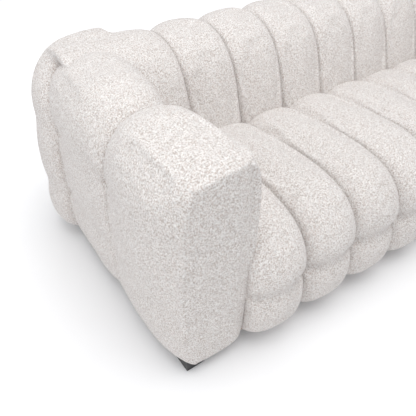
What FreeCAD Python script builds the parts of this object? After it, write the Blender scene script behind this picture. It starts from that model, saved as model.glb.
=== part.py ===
import FreeCAD, Part
import math
import os
import Sketcher

# Tuxedo sofa with channel-tufted upholstery on a timber frame.
# Millimetres. Origin at the middle of the footprint on the floor, X along the seat,
# Y from the front to the back, Z up. The arms are as high as the back.

doc = FreeCAD.newDocument("tuxedo_sofa")
sheet = doc.addObject("Spreadsheet::Sheet", "Sizes")

DRIVING_SIZES = (
    ("channel_count", 9, "padded channels along the seat"),
    ("channel_pitch", 204, "one channel, seam to seam"),
    ("arm_width", 255, "arm, outer face to first seat seam"),
    ("sofa_depth", 990, "front roll to rear face"),
    ("sofa_height", 720, "floor to the top of arms and back"),
    ("floor_gap", 38, "clear height under the upholstery"),
    ("seat_height", 445, "floor to the crest of the seat"),
    ("seat_depth", 588, "front roll to back rest at seat height"),
    ("back_lean", 17, "lean of the back rest in degrees"),
    ("panel_setback", 55, "arm front panel behind the front roll"),
    ("panel_pad", 20, "padding of the arm front panel"),
    ("panel_margin", 78, "arm front panel seam from the outer face"),
    ("side_pad", 66, "padding outside the arm frame"),
    ("inner_pad", 40, "padding between arm frame and seat"),
    ("top_pad", 80, "padding over the frame"),
    ("frame_slope", 60, "slope of the arm frame's upper outer corner"),
    ("rear_pad", 60, "padding behind the frame"),
    ("seat_channel_pad", 96, "height of a seat channel at its crest"),
    ("back_channel_pad", 114, "thickness of a back channel at its crest"),
    ("relief", 42, "crest to seam on the seat"),
    ("back_relief", 34, "crest to seam on the back"),
    ("edge_relief", 30, "crest to seam on the arms"),
    ("seat_roll", 95, "roll of the seat's front edge"),
    ("seat_end_slope", 50, "slope of the seat's rear end"),
    ("back_roll", 150, "roll of the back's top front edge"),
    ("rear_roll", 120, "roll of the back's top rear edge"),
    ("arm_roll", 100, "roll of the arm's outer edges"),
    ("arm_inner_roll", 60, "roll of the arm's edge towards the seat"),
    ("hem_roll", 52, "roll of the lower edges"),
    ("shoulder", 42, "seam to the crest of a channel"),
    ("seam_gap", 1, "between neighbouring channels"),
    ("low_row", 236, "height of the lower tufted row"),
    ("high_row", 487, "height of the upper tufted row"),
    ("row_depth", 10, "draw of the tufted rows"),
    ("row_spread", 45, "height of a row's slope above and below"),
    ("corner_reach", 179, "side seam of the corner in front of the rear face"),
    ("tuck", 12, "dust cover in from the edge of the frame"),
    ("board", 25, "thickness of boards and rails"),
    ("post", 45, "thickness of rails under the arms"),
    ("post_depth", 60, "depth of the arm posts"),
    ("hardboard", 4, "thickness of the panels"),
    ("rail_height", 205, "height of the seat rails"),
    ("base_height", 90, "height of the base rails"),
    ("fit", 0.5, "clearance between nested pieces"),
    ("back_foam", 50, "thickness of the back foam"),
    ("felt", 3, "thickness of the spring cover"),
    ("wire", 4, "spring wire"),
    ("spring_width", 56, "width of a sinuous spring"),
    ("spring_bend", 60, "one bend of a sinuous spring"),
    ("strap_width", 50, "elastic webbing"),
    ("strap", 2, "thickness of the webbing"),
    ("foot_width", 60, "square foot"),
    ("foot_inset", 62, "foot behind the outer face"),
    ("glide", 3, "plastic glide under a foot"),
    ("bolt", 8, "bolt shank"),
    ("bolt_length", 80, "bolt under its head"),
    ("bolt_head", 6, "height of a bolt head"),
    ("nut_wall", 3, "wall of a threaded insert"),
    ("nut_length", 22, "length of a threaded insert"),
)
for row, (alias, size, meaning) in enumerate(DRIVING_SIZES, start=1):
    sheet.set(f"A{row}", meaning)
    sheet.set(f"B{row}", str(size))
    sheet.setAlias(f"B{row}", alias)
doc.recompute()


def number(expression):
    """The value of an expression over the sheet."""
    return float(sheet.evalExpression(str(expression)))


def named(text):
    """Sheet names written as @name, turned into an expression."""
    return "(" + text.replace("@", "Sizes.") + ")"


# Main planes of the sofa, as expressions over the sheet
HALF_SEAT = named("@channel_count * @channel_pitch / 2")
HALF_WIDTH = named("@channel_count * @channel_pitch / 2 + @arm_width")
FRONT = named("-@sofa_depth / 2")
REAR = named("@sofa_depth / 2")
PANEL_FACE = named("-@sofa_depth / 2 + @panel_setback")
FRAME_FRONT = named("-@sofa_depth / 2 + @panel_setback + @panel_pad")
FRAME_REAR = named("@sofa_depth / 2 - @rear_pad - @hardboard")
FRAME_BASE = named("@floor_gap + @board / 2")
FRAME_TOP = named("@sofa_height - @top_pad")
RAIL_TOP = f"({FRAME_BASE} + Sizes.rail_height)"
SEAT_UNDERSIDE = named("@seat_height - @seat_channel_pad")
WIRE_BASE = f"({RAIL_TOP} + 2 * Sizes.fit)"
CLIP_TOP = f"({WIRE_BASE} + Sizes.wire + 3 * Sizes.fit)"
SIDE_SEAM_A = f"({REAR} - Sizes.corner_reach)"
SIDE_SEAM_B = f"(({PANEL_FACE} + {SIDE_SEAM_A}) / 2)"


SIDES = ((-1, "left"), (1, "right"))


def back_rest(height, inset="0"):
    """Y of the back rest's crest line at a height, moved into the back by inset."""
    return (f"({FRONT} + Sizes.seat_depth + ({height} - Sizes.seat_height)"
            f" * tan(Sizes.back_lean) + ({inset}) / cos(Sizes.back_lean))")


def x_span(side, near, far):
    """X range of a piece between two distances in from the outer face of one arm."""
    if side < 0:
        return f"(-{HALF_WIDTH} + {near})", f"(-{HALF_WIDTH} + {far})"
    return f"({HALF_WIDTH} - {far})", f"({HALF_WIDTH} - {near})"


# Straight timber and the other plain solids

def block(name, x, y, z):
    """A rectangular piece between three pairs of limits."""
    piece = doc.addObject("Part::Box", name)
    for size, at, (low, high) in (("Length", "x", x), ("Width", "y", y), ("Height", "z", z)):
        piece.setExpression(size, f"{high} - {low}")
        piece.setExpression(f"Placement.Base.{at}", low)
    return piece


def bar(name, across_flats, flats, length, place, axis):
    """A bar with flat sides from a point, along +X, -X or +Z."""
    piece = doc.addObject("Part::Prism", name)
    piece.Polygon = flats
    piece.setExpression("Circumradius", f"({across_flats}) / 2 / cos(180 / {flats})")
    piece.setExpression("Height", length)
    lay_along(piece, axis, place)
    return piece


def lay_along(piece, axis, place):
    """Turn a piece built along Z and bind its place."""
    turns = {"+X": (0, 1, 0, 90), "-X": (0, 1, 0, -90), "+Z": (0, 0, 1, 0)}
    x, y, z, angle = turns[axis]
    piece.Placement = FreeCAD.Placement(FreeCAD.Vector(), FreeCAD.Rotation(FreeCAD.Vector(x, y, z), angle))
    for letter, value in zip("xyz", place):
        piece.setExpression(f"Placement.Base.{letter}", value)


def group(name, pieces):
    """Several solids kept together, fused or side by side."""
    piece = doc.addObject("Part::Compound", name)
    piece.Links = pieces
    return piece


def cut(name, base, tools):
    """A piece with bores or notches taken out."""
    piece = doc.addObject("Part::Cut", name)
    piece.Base = base
    piece.Tool = tools[0] if len(tools) == 1 else group(f"{name}_tools", tools)
    return piece


# Outlines: corner points with a rounding radius, drawn on a plane of the body

def body_plane(body, role):
    return next(feature for feature in body.Origin.OriginFeatures if feature.Role == role)


def draw_outline(body, name, role, offset, corners):
    """A closed outline of lines and tangent arcs.

    Each corner is (u, v, radius) in expressions. Every corner point, and every
    radius above zero, is a constraint bound to the sheet.
    """
    sketch = body.newObject("Sketcher::SketchObject", name)
    sketch.AttachmentSupport = [(body_plane(body, role), "")]
    sketch.MapMode = "FlatFace"
    sketch.setExpression("AttachmentOffset.Base.z", offset)
    points = [FreeCAD.Vector(number(u), number(v), 0) for u, v, _ in corners]
    radii = [number(radius) for _, _, radius in corners]
    total = len(corners)
    arcs = {}
    ends = []
    for index, (point, radius) in enumerate(zip(points, radii)):
        back = (points[index - 1] - point).normalize()
        ahead = (points[(index + 1) % total] - point).normalize()
        half_turn = math.acos(max(-1.0, min(1.0, back.dot(ahead)))) / 2
        reach = radius / math.tan(half_turn) if radius > 0 else 0.0
        ends.append((point + back * reach, point + ahead * reach))
        if radius > 0:
            centre = point + (back + ahead).normalize() * (radius / math.sin(half_turn))
            middle = centre + (point - centre).normalize() * radius
            arcs[index] = Part.Arc(ends[index][0], middle, ends[index][1])
    lines = [
        Part.LineSegment(ends[index][1], ends[(index + 1) % total][0])
        for index in range(total)
    ]
    sketch.addGeometry(lines, False)
    rules = []
    bound = []
    arc_ids = {}
    for index, arc in arcs.items():
        arc_ids[index] = sketch.addGeometry(arc, False)
    for index, (u, v, radius) in enumerate(corners):
        before, after = (index - 1) % total, index
        if index in arcs:
            arc_id = arc_ids[index]
            starts_back = sketch.getPoint(arc_id, 1).distanceToPoint(ends[index][0]) < 1e-6
            near_back, near_ahead = (1, 2) if starts_back else (2, 1)
            rules.append(Sketcher.Constraint("Tangent", before, 2, arc_id, near_back))
            rules.append(Sketcher.Constraint("Tangent", arc_id, near_ahead, after, 1))
            rules.append(Sketcher.Constraint("Radius", arc_id, radii[index]))
            bound.append((len(rules) - 1, radius))
            corner_id, place = sketch.addGeometry(Part.Point(points[index]), True), 1
            rules.append(Sketcher.Constraint("PointOnObject", corner_id, 1, before))
            rules.append(Sketcher.Constraint("PointOnObject", corner_id, 1, after))
        else:
            rules.append(Sketcher.Constraint("Coincident", before, 2, after, 1))
            corner_id, place = after, 1
        rules.append(Sketcher.Constraint("DistanceX", -1, 1, corner_id, place, points[index].x))
        bound.append((len(rules) - 1, u))
        rules.append(Sketcher.Constraint("DistanceY", -1, 1, corner_id, place, points[index].y))
        bound.append((len(rules) - 1, v))
    sketch.addConstraint(rules)
    for index, expression in bound:
        sketch.setExpression(f"Constraints[{index}]", expression)
    return sketch


def pad(body, sketch, length):
    """A solid of even section from its outline."""
    feature = body.newObject("PartDesign::Pad", f"{sketch.Name}_pad")
    feature.Profile = sketch
    feature.setExpression("Length", length)
    return feature


def loft(body, name, sections):
    """A solid with straight flanks between outlines of the same make."""
    feature = body.newObject("PartDesign::AdditiveLoft", name)
    feature.Profile = sections[0]
    feature.Sections = sections[1:]
    feature.Ruled = True
    return feature


def roll(u, v, inward_u, inward_v, radius, flats=3):
    """A rolled corner in a few flats, from its upright side to its level side."""
    points = []
    for step in range(flats + 1):
        turn = math.radians(90 * step / flats)
        points.append((f"({u} + {inward_u} * ({radius}) * {1 - math.cos(turn):.5f})",
                       f"({v} + {inward_v} * ({radius}) * {1 - math.sin(turn):.5f})", "0"))
    return points


def run_of(corners, first, last):
    """Pairs of neighbouring points of an outline, from one corner to another."""
    places = [(number(u), number(v)) for u, v, _ in corners]
    low, high = sorted((first % len(places), last % len(places)))
    return list(zip(places[low:high], places[low + 1:high + 1]))


def edges_along(shape, runs, plane):
    """Names of the edges that lie over the given pairs of points, in a plane across X or Y."""
    axis, level = plane
    names = []
    for index, edge in enumerate(shape.Edges, start=1):
        ends = [vertex.Point for vertex in edge.Vertexes]
        if len(ends) != 2 or any(abs(point[axis] - level) > 1e-4 for point in ends):
            continue
        flat = [(point[1 - axis], point[2]) for point in ends]
        for a, b in runs:
            for start, stop in ((a, b), (b, a)):
                if max(abs(start[0] - flat[0][0]), abs(start[1] - flat[0][1]),
                       abs(stop[0] - flat[1][0]), abs(stop[1] - flat[1][1])) < 1e-4:
                    names.append(f"Edge{index}")
    return names


def ease(body, name, base, edges, shoulder, relief):
    """Slope a channel's shoulders down to its seams."""
    feature = body.newObject("PartDesign::Chamfer", name)
    feature.Base = (base, edges)
    feature.ChamferType = "Two distances"
    feature.setExpression("Size", shoulder)
    feature.setExpression("Size2", relief)
    doc.recompute()
    return feature


def tufted_row(face, height, inward):
    """Three points where tufting draws a face in along a row, from below to above."""
    return [
        (face, f"{height} - Sizes.row_spread", "0"),
        (f"({face} + {inward} * Sizes.row_depth)", height, "0"),
        (face, f"{height} + Sizes.row_spread", "0"),
    ]


# Seat channels: fibre-filled tubes from the back rest over the front rail

def seat_outline(drop):
    """Side profile of a seat channel, clockwise from under the front rail."""
    rear_crest = f"(Sizes.seat_height - Sizes.seat_channel_pad / 5 - {drop})"
    front_crest = f"(Sizes.seat_height - Sizes.seat_channel_pad / 8 - {drop})"
    underside = f"({SEAT_UNDERSIDE} + Sizes.fit)"
    face = f"({FRONT} + {drop})"
    behind = f"({FRAME_FRONT} - Sizes.fit)"
    end_slope = "Sizes.seat_end_slope"
    return [
        (behind, "Sizes.floor_gap", "0"),
        *reversed(roll(face, "Sizes.floor_gap", 1, 1, f"Sizes.hem_roll - {drop}", 1)),
        *tufted_row(face, "Sizes.low_row", 1),
        *roll(face, front_crest, 1, -1, f"Sizes.seat_roll - {drop}"),
        (named("-@sofa_depth / 7"), f"(Sizes.seat_height - {drop})", "0"),
        (back_rest(rear_crest, f"-Sizes.seam_gap - {end_slope}"), rear_crest, "0"),
        (back_rest(rear_crest, f"-Sizes.seam_gap - {end_slope} / 3"), f"({rear_crest} - {end_slope} / 6)", "0"),
        (back_rest(underside, "-Sizes.seam_gap"), underside, "0"),
        (behind, underside, "0"),
    ]


CHANNEL_LENGTH = named("@channel_pitch - @seam_gap")


def crown_both_ends(body, name, base, runs, relief):
    """Slope both shoulders of a channel that starts at X 0."""
    doc.recompute()
    edges = [name for level in (0, number(CHANNEL_LENGTH)) for name in edges_along(base.Shape, runs, (0, level))]
    return ease(body, f"{name}_crown", base, edges, "Sizes.shoulder", relief)


def seat_channel(index):
    body = doc.addObject("PartDesign::Body", f"seat_channel_{index}")
    corners = seat_outline("0")
    block_of_fill = pad(body, draw_outline(body, f"seat_side_{index}", "YZ_Plane", "0", corners), CHANNEL_LENGTH)
    crown_both_ends(body, f"seat_{index}", block_of_fill, run_of(corners, 2, -3), "Sizes.relief")
    body.setExpression("Placement.Base.x",
                       f"-{HALF_SEAT} + {index - 1} * Sizes.channel_pitch + Sizes.seam_gap / 2")
    return body


# Back channels: up the back rest, over the top and down the outside back

CAVITY_TOP = f"({FRAME_TOP} + Sizes.fit)"
CAVITY_REAR = f"({FRAME_REAR} + Sizes.hardboard + Sizes.fit)"


STRAP_BASE = f"({RAIL_TOP} - Sizes.base_height / 2)"


def strap_line(height):
    """Y of the front of the back webbing at a height."""
    return back_rest(height, "Sizes.back_channel_pad + Sizes.back_foam + 2 * Sizes.fit")


def foam_face(height):
    """Y of the inside of the back channels at a height."""
    return back_rest(height, "Sizes.back_channel_pad")


def back_outline(drop):
    """Side profile of a back channel, clockwise from the foot of the back rest."""
    bottom = f"({SEAT_UNDERSIDE} + 2 * Sizes.fit)"
    top = f"(Sizes.sofa_height - {drop})"
    rear = f"({REAR} - {drop})"
    front_roll = [
        (back_rest(v, f"{drop} + {u}"), v, "0")
        for u, v, _ in roll("0", top, 1, -1, f"Sizes.back_roll - {drop}", 4)
    ]
    return [
        (back_rest(bottom, drop), bottom, "0"),
        *front_roll,
        *reversed(roll(rear, top, -1, -1, f"Sizes.rear_roll - {drop}")),
        *roll(rear, "Sizes.floor_gap", -1, 1, f"Sizes.hem_roll - {drop}", 1),
        (CAVITY_REAR, "Sizes.floor_gap", "0"),
        (CAVITY_REAR, CAVITY_TOP, "0"),
        (foam_face(CAVITY_TOP), CAVITY_TOP, "0"),
        (foam_face(bottom), bottom, "0"),
    ]


def back_channel(index):
    body = doc.addObject("PartDesign::Body", f"back_channel_{index}")
    corners = back_outline("0")
    block_of_fill = pad(body, draw_outline(body, f"back_side_{index}", "YZ_Plane", "0", corners), CHANNEL_LENGTH)
    crown_both_ends(body, f"back_{index}", block_of_fill, run_of(corners, 0, -6), "Sizes.back_relief")
    body.setExpression("Placement.Base.x",
                       f"-{HALF_SEAT} + {index} * Sizes.channel_pitch + Sizes.seam_gap / 2")
    return body


# Arm channels: saddles over the arm, from under the outer side to the seat

def on_side(side, corners):
    """Corners given as distances in from an arm's outer face, on that arm."""
    placed = [(f"{side} * ({HALF_WIDTH} - ({u}))", v, radius) for u, v, radius in corners]
    return placed if side < 0 else placed[::-1]


ARM_OUTER_FACE = named("@side_pad - @hardboard - @fit")
ARM_INNER_FACE = named("@arm_width - @inner_pad + @hardboard + @fit")
ARM_SEAT_SIDE = named("@arm_width - @seam_gap")


def cavity_slope():
    """The hollow's upper outer corner, sloped like the arm frame inside it."""
    return [
        (f"({ARM_OUTER_FACE} + Sizes.frame_slope)", CAVITY_TOP, "0"),
        (ARM_OUTER_FACE, f"({CAVITY_TOP} - Sizes.frame_slope)", "0"),
    ]


def arm_outline(side):
    """Cross-section of an arm channel: the outer side with its rows, the top, the seat side."""
    bottom = f"({SEAT_UNDERSIDE} + Sizes.fit)"
    return on_side(side, [
        (ARM_OUTER_FACE, "Sizes.floor_gap", "0"),
        *reversed(roll("0", "Sizes.floor_gap", 1, 1, "Sizes.hem_roll", 1)),
        *tufted_row("0", "Sizes.low_row", 1),
        *tufted_row("0", "Sizes.high_row", 1),
        *roll("0", "Sizes.sofa_height", 1, -1, "Sizes.arm_roll"),
        *reversed(roll(ARM_SEAT_SIDE, "Sizes.sofa_height", -1, -1, "Sizes.arm_inner_roll", 2)),
        (ARM_SEAT_SIDE, bottom, "0"),
        (ARM_INNER_FACE, bottom, "0"),
        (ARM_INNER_FACE, CAVITY_TOP, "0"),
        *cavity_slope(),
    ])


def arm_run(side, corners):
    """The outer run of an arm outline, from the outer hem over the top to the seat side."""
    outer = run_of(corners, 2, -4) if side < 0 else run_of(corners, 3, -3)
    return outer


def arm_block(body, name, side, front, rear):
    """One saddle of even section between two places along the arm."""
    sketch = draw_outline(body, name, "XZ_Plane", f"-({rear})", arm_outline(side))
    return pad(body, sketch, f"({rear}) - ({front})")


def ease_arm(body, name, base, side, corners, place, shoulder, relief):
    doc.recompute()
    edges = edges_along(base.Shape, arm_run(side, corners), (1, number(place)))
    return ease(body, name, base, edges, shoulder, relief)


def arm_front_channel(side, hand):
    body = doc.addObject("PartDesign::Body", f"arm_front_channel_{hand}")
    rear = f"({SIDE_SEAM_B} - Sizes.seam_gap / 2)"
    saddle = arm_block(body, f"arm_front_{hand}", side, FRAME_FRONT, rear)
    ease_arm(body, f"arm_front_rear_slope_{hand}", saddle, side, arm_outline(side), rear,
             "Sizes.shoulder", "Sizes.edge_relief")
    wrap = pad(body, draw_outline(body, f"arm_wrap_{hand}", "XZ_Plane", f"-{FRAME_FRONT}", wrap_outline(side)),
               f"{FRAME_FRONT} - {PANEL_FACE}")
    ease_arm(body, f"arm_front_edge_{hand}", wrap, side, wrap_outline(side), PANEL_FACE,
             "Sizes.panel_pad * 0.8", "Sizes.edge_relief / 2")
    return body


def wrap_outline(side):
    """The turned front edge of the arm's cover, around the outside and top of the panel."""
    seam = named("@panel_margin - @seam_gap")
    return on_side(side, [
        (seam, "Sizes.floor_gap", "0"),
        *reversed(roll("0", "Sizes.floor_gap", 1, 1, "Sizes.hem_roll", 1)),
        *tufted_row("0", "Sizes.low_row", 1),
        *tufted_row("0", "Sizes.high_row", 1),
        *roll("0", "Sizes.sofa_height", 1, -1, "Sizes.arm_roll"),
        *reversed(roll(ARM_SEAT_SIDE, "Sizes.sofa_height", -1, -1, "Sizes.arm_inner_roll", 2)),
        (ARM_SEAT_SIDE, CAVITY_TOP, "0"),
        (seam, CAVITY_TOP, "0"),
    ])


def arm_rear_channel(side, hand):
    body = doc.addObject("PartDesign::Body", f"arm_rear_channel_{hand}")
    front = f"({SIDE_SEAM_B} + Sizes.seam_gap / 2)"
    rear = f"({SIDE_SEAM_A} - Sizes.seam_gap / 2)"
    saddle = arm_block(body, f"arm_rear_{hand}", side, front, rear)
    doc.recompute()
    run = arm_run(side, arm_outline(side))
    edges = [name for end in (front, rear) for name in edges_along(saddle.Shape, run, (1, number(end)))]
    ease(body, f"arm_rear_slopes_{hand}", saddle, edges, "Sizes.shoulder", "Sizes.edge_relief")
    return body


def arm_front_panel(side, hand):
    """Flat padded panel on the front of the arm, eased towards the seat."""
    body = doc.addObject("PartDesign::Body", f"arm_front_panel_{hand}")

    def panel_outline(inset):
        return on_side(side, [
            ("Sizes.panel_margin", "Sizes.floor_gap", "0"),
            ("Sizes.panel_margin", FRAME_TOP, "0"),
            (f"({ARM_SEAT_SIDE} - {inset})", FRAME_TOP, "0"),
            (f"({ARM_SEAT_SIDE} - {inset})", "Sizes.floor_gap", "0"),
        ])

    depth = f"({FRAME_FRONT} - Sizes.fit - {PANEL_FACE})"
    loft(body, f"arm_panel_loft_{hand}", [
        draw_outline(body, f"arm_panel_{hand}_{index}", "XZ_Plane",
                     f"-({PANEL_FACE} + {depth} * {share})", panel_outline(inset))
        for index, (share, inset) in enumerate(
            ((0, "Sizes.panel_pad / 2"), (0.5, "0"), (1, "0")))
    ])
    return body


# Corner channels: the end of the back, fanned round the rear corner to the arm's side

def corner_inset(y):
    """How far the rounded rear corner has drawn in at a place near the rear face."""
    rounding = f"({y} - ({REAR} - Sizes.rear_roll))"
    return f"(Sizes.rear_roll - sqrt(Sizes.rear_roll ^ 2 - {rounding} ^ 2))"


def corner_outline(side, drop, open_below):
    """The arm's outline behind the side seam, hollow for the frame or closed."""
    top = f"(Sizes.sofa_height - {drop})"
    hem = f"Sizes.hem_roll - {drop}" if open_below else f"Sizes.hem_roll - {drop} / 3"
    outer = [
        *reversed(roll(drop, "Sizes.floor_gap", 1, 1, hem, 1)),
        *roll(drop, top, 1, -1, f"Sizes.arm_roll - {drop} / 2"),
        ("Sizes.arm_width", top, "0"),
    ]
    if open_below:
        inner = [("Sizes.arm_width", CAVITY_TOP, "0"), *cavity_slope(),
                 (ARM_OUTER_FACE, "Sizes.floor_gap", "0")]
    else:
        inner = [("Sizes.arm_width", "Sizes.floor_gap", "0")]
    return on_side(side, outer + inner)


def corner_channel(side, hand):
    body = doc.addObject("PartDesign::Body", f"corner_channel_{hand}")
    seam = f"({SIDE_SEAM_A} + Sizes.seam_gap / 2)"
    turn_start = f"({REAR} - Sizes.rear_roll)"
    hollow = (
        (seam, "Sizes.edge_relief"),
        (turn_start, "0"),
        (CAVITY_REAR, corner_inset(CAVITY_REAR)),
    )
    closed = [(CAVITY_REAR, corner_inset(CAVITY_REAR))]
    closed += [
        (f"({turn_start} + Sizes.rear_roll * {share})", corner_inset(f"({turn_start} + Sizes.rear_roll * {share})"))
        for share in (0.85, 1)
    ]
    for name, places, open_below in (("side", hollow, True), ("end", closed, False)):
        loft(body, f"corner_{name}_loft_{hand}", [
            draw_outline(body, f"corner_{name}_{hand}_{index}", "XZ_Plane", f"-({place})",
                         corner_outline(side, drop, open_below))
            for index, (place, drop) in enumerate(places)
        ])
    corners = back_outline("0")
    length = "(Sizes.channel_pitch - Sizes.seam_gap / 2)"
    near = f"(-{HALF_SEAT})" if side < 0 else f"({HALF_SEAT} - {length})"
    seam_x = number(f"{near} + {length}" if side < 0 else near)
    back = pad(body, draw_outline(body, f"corner_back_{hand}", "YZ_Plane", near, corners), length)
    doc.recompute()
    edges = edges_along(back.Shape, run_of(corners, 0, -6), (0, seam_x))
    ease(body, f"corner_back_slope_{hand}", back, edges, "Sizes.shoulder", "Sizes.back_relief")
    return body


# Soft layers under the channels

def foam_span():
    """X range between the liners of the two arms."""
    inside = named("@inner_pad - @hardboard - @fit")
    return f"(-{HALF_SEAT} - {inside})", f"({HALF_SEAT} + {inside})"


def seat_foam_block():
    rear = f"({foam_face(SEAT_UNDERSIDE)} - 2 * Sizes.fit)"
    felt_top = f"({CLIP_TOP} + Sizes.felt)"
    foam = block("seat_foam_block", foam_span(), (FRAME_FRONT, rear), (felt_top, SEAT_UNDERSIDE))
    felt = block("spring_cover_felt", foam_span(), (FRAME_FRONT, rear), (CLIP_TOP, felt_top))
    return [foam, felt]


def leaning_slab(name, x, front, rear, bottom, top):
    """A slab that leans with the back rest between two lines."""
    body = doc.addObject("PartDesign::Body", name)
    corners = [
        (front(bottom), bottom, "0"),
        (front(top), top, "0"),
        (rear(top), top, "0"),
        (rear(bottom), bottom, "0"),
    ]
    pad(body, draw_outline(body, f"{name}_side", "YZ_Plane", x[0], corners), f"{x[1]} - {x[0]}")
    return body


def back_foam_block():
    bottom = f"({SEAT_UNDERSIDE} + 2 * Sizes.fit)"
    return leaning_slab(
        "back_foam_block", (f"(Sizes.fit - {HALF_SEAT})", f"({HALF_SEAT} - Sizes.fit)"),
        lambda height: f"({foam_face(height)} + Sizes.fit)",
        lambda height: f"({strap_line(height)} - Sizes.fit)",
        bottom, FRAME_TOP)


# Timber frame of an arm

def arm_end_outline(side, outside, inside, bottom, top):
    """End view of the arm frame, with its upper outer corner sloped under the padding."""
    return on_side(side, [
        (outside, bottom, "0"),
        (outside, f"({FRAME_TOP} - Sizes.frame_slope)", "0"),
        (f"({outside} + Sizes.frame_slope - ({FRAME_TOP} - {top}))", top, "0"),
        (inside, top, "0"),
        (inside, bottom, "0"),
    ])


def arm_frame(side, hand):
    """Posts, boards and panels of one arm, from the outer face inwards."""
    outside = "Sizes.side_pad"
    inside = named("@arm_width - @inner_pad")
    post_top = f"({FRAME_TOP} - Sizes.board)"
    into_post = "+X" if side > 0 else "-X"
    foot_y = {"front": f"({FRAME_FRONT} + Sizes.foot_width / 2)",
              "rear": f"({FRAME_REAR} - Sizes.foot_width / 2)"}
    post_rear = {"front": f"({FRAME_FRONT} + Sizes.post_depth)", "rear": FRAME_REAR}
    pieces = []
    for place, bore_y in bolt_places():
        post = doc.addObject("PartDesign::Body", f"arm_{place}_post_{hand}_blank")
        outline = draw_outline(post, f"arm_{place}_post_{hand}_end", "XZ_Plane", f"-{post_rear[place]}",
                               arm_end_outline(side, outside, inside, FRAME_BASE, post_top))
        pad(post, outline, "Sizes.post_depth")
        bores = [
            bar(f"arm_{place}_bore_{hand}_{level}", insert_width(), 6, bore_depth(),
                (f"({side} * ({HALF_WIDTH} - {inside}))", bore_y, height), into_post)
            for level, height in enumerate(bolt_heights())
        ]
        bores.append(foot_bore(f"foot_{place}_insert_bore_{hand}", foot_centre_x(side), foot_y[place]))
        pieces.append(cut(f"arm_{place}_post_{hand}", post, bores))
    top_x = x_span(side, "(Sizes.side_pad + Sizes.frame_slope)", inside)
    pieces.append(block(f"arm_top_board_{hand}", top_x, (FRAME_FRONT, FRAME_REAR), (post_top, FRAME_TOP)))
    base_top = f"({FRAME_BASE} + Sizes.base_height)"
    pieces.append(block(f"arm_base_rail_{hand}", x_span(side, outside, "(Sizes.side_pad + Sizes.post)"),
                        (post_rear["front"], f"({FRAME_REAR} - Sizes.post_depth)"), (FRAME_BASE, base_top)))
    skin = doc.addObject("PartDesign::Body", f"arm_outer_panel_{hand}")
    knee = f"({FRAME_TOP} - Sizes.frame_slope)"
    bent = on_side(side, [
        ("(Sizes.side_pad - Sizes.hardboard)", FRAME_BASE, "0"),
        ("(Sizes.side_pad - Sizes.hardboard)", knee, "0"),
        ("(Sizes.side_pad - Sizes.hardboard + Sizes.frame_slope)", FRAME_TOP, "0"),
        ("(Sizes.side_pad + Sizes.frame_slope)", FRAME_TOP, "0"),
        ("Sizes.side_pad", knee, "0"),
        ("Sizes.side_pad", FRAME_BASE, "0"),
    ])
    pad(skin, draw_outline(skin, f"arm_outer_panel_{hand}_end", "XZ_Plane", f"-{FRAME_REAR}", bent),
        f"{FRAME_REAR} - {FRAME_FRONT}")
    pieces.append(skin)
    return pieces


def arm_inner_panels():
    """Hardboard between arm frame and padding, above the seat rails."""
    inside = named("@arm_width - @inner_pad")
    return group("arm_inner_panels", [
        block(f"arm_inner_panel_{hand}", x_span(side, inside, f"({inside} + Sizes.hardboard)"),
              (FRAME_FRONT, f"({strap_line(FRAME_TOP)} + Sizes.strap)"),
              (f"({RAIL_TOP} + Sizes.fit)", FRAME_TOP))
        for side, hand in SIDES
    ])


# Bolts between the arms and the seat, and under the feet

def bolt_heights():
    return (f"({FRAME_BASE} + Sizes.base_height / 2)", f"({RAIL_TOP} - Sizes.base_height / 2)")


def insert_width():
    return "(Sizes.bolt + 2 * Sizes.nut_wall)"


def bore_depth():
    return named("@bolt_length - @board + 2 * @fit")


def bolt_places():
    """Y of the bolts through the front and the rear post, clear of the cross pieces."""
    inset = "(Sizes.board + Sizes.post_depth) / 2"
    return ("front", f"({FRAME_FRONT} + {inset})"), ("rear", f"({FRAME_REAR} - {inset})")


def foot_centre_x(side):
    return f"({side} * ({HALF_WIDTH} - Sizes.foot_inset - Sizes.foot_width / 2))"


def foot_centres():
    """Centres of the corner feet and of the two under the middle of the seat."""
    front_y = f"({FRAME_FRONT} + Sizes.foot_width / 2)"
    rear_y = f"({FRAME_REAR} - Sizes.foot_width / 2)"
    under_rail = "(Sizes.board + Sizes.foot_width)"
    corners = [
        (f"foot_{place}_{hand}", foot_centre_x(side), y)
        for side, hand in SIDES
        for place, y in (("front", front_y), ("rear", rear_y))
    ]
    middles = [
        (f"foot_middle_{place}", "0", y)
        for place, y in (("front", f"({FRAME_FRONT} + {under_rail})"),
                         ("rear", f"({FRAME_REAR} - {under_rail})"))
    ]
    return corners, middles


def foot_bore(name, x, y):
    return bar(name, insert_width(), 6, "(Sizes.bolt_length / 2)", (x, y, FRAME_BASE), "+Z")


def foot_bolt_and_insert(name, x, y):
    """Bolt up through a foot into a threaded insert in the wood above it."""
    head_base = "(2 * Sizes.glide)"
    shank = bar(f"{name}_shank", "Sizes.bolt", 8, "(Sizes.bolt_length / 2 + Sizes.bolt_head)",
                (x, y, f"({head_base} + Sizes.bolt_head)"), "+Z")
    head = bar(f"{name}_head", "(Sizes.bolt * 1.6)", 6, "Sizes.bolt_head", (x, y, head_base), "+Z")
    bolt = doc.addObject("Part::Fuse", f"{name}_bolt")
    bolt.Base = head
    bolt.Tool = shank
    return bolt, threaded_insert(name, (x, y, FRAME_BASE), "+Z")


def threaded_insert(name, place, axis):
    """A sleeve pressed into the wood, bored for the bolt."""
    sleeve = bar(f"{name}_sleeve", f"({insert_width()} - Sizes.fit)", 6, "Sizes.nut_length", place, axis)
    bore = bar(f"{name}_sleeve_bore", "(Sizes.bolt + Sizes.fit)", 8, "Sizes.nut_length", place, axis)
    return cut(f"{name}_insert", sleeve, [bore])


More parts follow.
